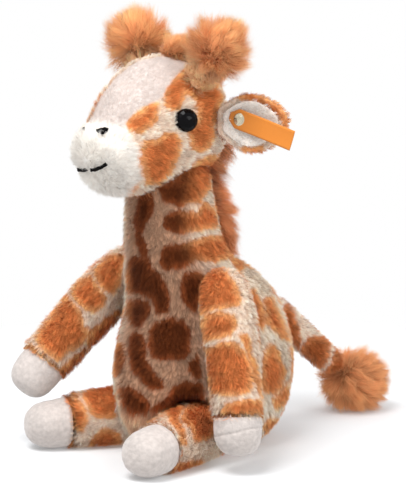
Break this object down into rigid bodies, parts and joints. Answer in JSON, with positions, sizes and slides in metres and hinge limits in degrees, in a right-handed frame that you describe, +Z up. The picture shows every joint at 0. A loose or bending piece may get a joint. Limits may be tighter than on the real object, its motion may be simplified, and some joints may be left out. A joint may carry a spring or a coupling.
{
  "type": "plush giraffe",
  "caption": "Seated stuffed toy giraffe with hanging plush limbs, horn pompoms, a maned neck and a tufted tail, for play and display",
  "frame": {"origin": "on the seat plane, below the middle of the belly", "axes": "+Z up, the animal faces -Y, its left side is +X"},
  "size_m": [0.155, 0.232, 0.2436],
  "materials": {
    "fur_brown": "short plush pile, rust-brown patches on a cream ground",
    "pile_brown": "long loose pile, orange brown",
    "plush_white": "very short white plush",
    "suede_white": "brushed white suede cloth",
    "eye_black": "polished black plastic",
    "washer_plastic": "plain moulded plastic",
    "rivet_metal": "plated, worn bright",
    "ribbon_yellow": "woven ribbon, bare",
    "lining_cotton": "plain cotton"
  },
  "bodies": {
    "torso": {"body_skin": "fur_brown", "seat_panel": "suede_white", "bean_pouch": "lining_cotton", "neck_mane": "pile_brown"},
    "head": {"head": "fur_brown", "muzzle": "plush_white", "forehead_panel": "plush_white", "head_mane": "pile_brown", "eye_left": "eye_black", "eye_right": "eye_black", "eye_washer_left": "washer_plastic", "eye_washer_right": "washer_plastic", "horn_left": "fur_brown", "horn_right": "fur_brown", "horn_pompom_left": "pile_brown", "horn_pompom_right": "pile_brown"},
    "ear_left": {"ear_outer_left": "fur_brown", "ear_lining_left": "plush_white", "rivet_front": "rivet_metal", "rivet_back": "rivet_metal"},
    "ear_right": {"ear_outer_right": "fur_brown", "ear_lining_right": "plush_white"},
    "ear_tag": {"ear_tag": "ribbon_yellow"},
    "arm_left": {"arm_left": "fur_brown", "hand_hoof_left": "suede_white"},
    "arm_right": {"arm_right": "fur_brown", "hand_hoof_right": "suede_white"},
    "leg_left": {"leg_left": "fur_brown", "foot_hoof_left": "suede_white"},
    "leg_right": {"leg_right": "fur_brown", "foot_hoof_right": "suede_white"},
    "tail": {"tail": "fur_brown", "tail_tuft": "pile_brown"}
  },
  "joints": [
    {"name": "head_turn", "type": "hinge", "parent": "torso", "child": "head", "pos_m": [0, -0.027, 0.142], "axis": [0, 0, 1], "range_deg": [-25, 25], "stiffness_Nm_per_rad": 0.05},
    {"name": "ear_left_fold", "type": "hinge", "parent": "head", "child": "ear_left", "pos_m": [0.02671, -0.01398, 0.18847], "axis": [0, 0, 1], "range_deg": [-30, 20], "stiffness_Nm_per_rad": 0.001},
    {"name": "ear_right_fold", "type": "hinge", "parent": "head", "child": "ear_right", "pos_m": [-0.02671, -0.01398, 0.18847], "axis": [0, 0, -1], "range_deg": [-30, 20], "stiffness_Nm_per_rad": 0.001},
    {"name": "tag_swing", "type": "hinge", "parent": "ear_left", "child": "ear_tag", "pos_m": [0.03901, -0.0063, 0.19047], "axis": [0.5299, -0.848, 0], "range_deg": [-12, 12]},
    {"name": "shoulder_left", "type": "hinge", "parent": "torso", "child": "arm_left", "pos_m": [0.0313, -0.02241, 0.09486], "axis": [-0.9781, 0, -0.2079], "range_deg": [-15, 100]},
    {"name": "shoulder_right", "type": "hinge", "parent": "torso", "child": "arm_right", "pos_m": [-0.0313, -0.02241, 0.09486], "axis": [-0.9781, 0, 0.2079], "range_deg": [0, 65]},
    {"name": "hip_left", "type": "hinge", "parent": "torso", "child": "leg_left", "pos_m": [0.02494, -0.02006, 0.0165], "axis": [0.9659, 0.2588, 0], "range_deg": [-10, 80]},
    {"name": "hip_right", "type": "hinge", "parent": "torso", "child": "leg_right", "pos_m": [-0.02494, -0.02006, 0.0165], "axis": [0.9205, -0.3907, 0], "range_deg": [0, 80]},
    {"name": "tail_swing", "type": "hinge", "parent": "torso", "child": "tail", "pos_m": [0, 0.0531, 0.06901], "axis": [1, 0, 0], "range_deg": [-10, 60]}
  ]
}
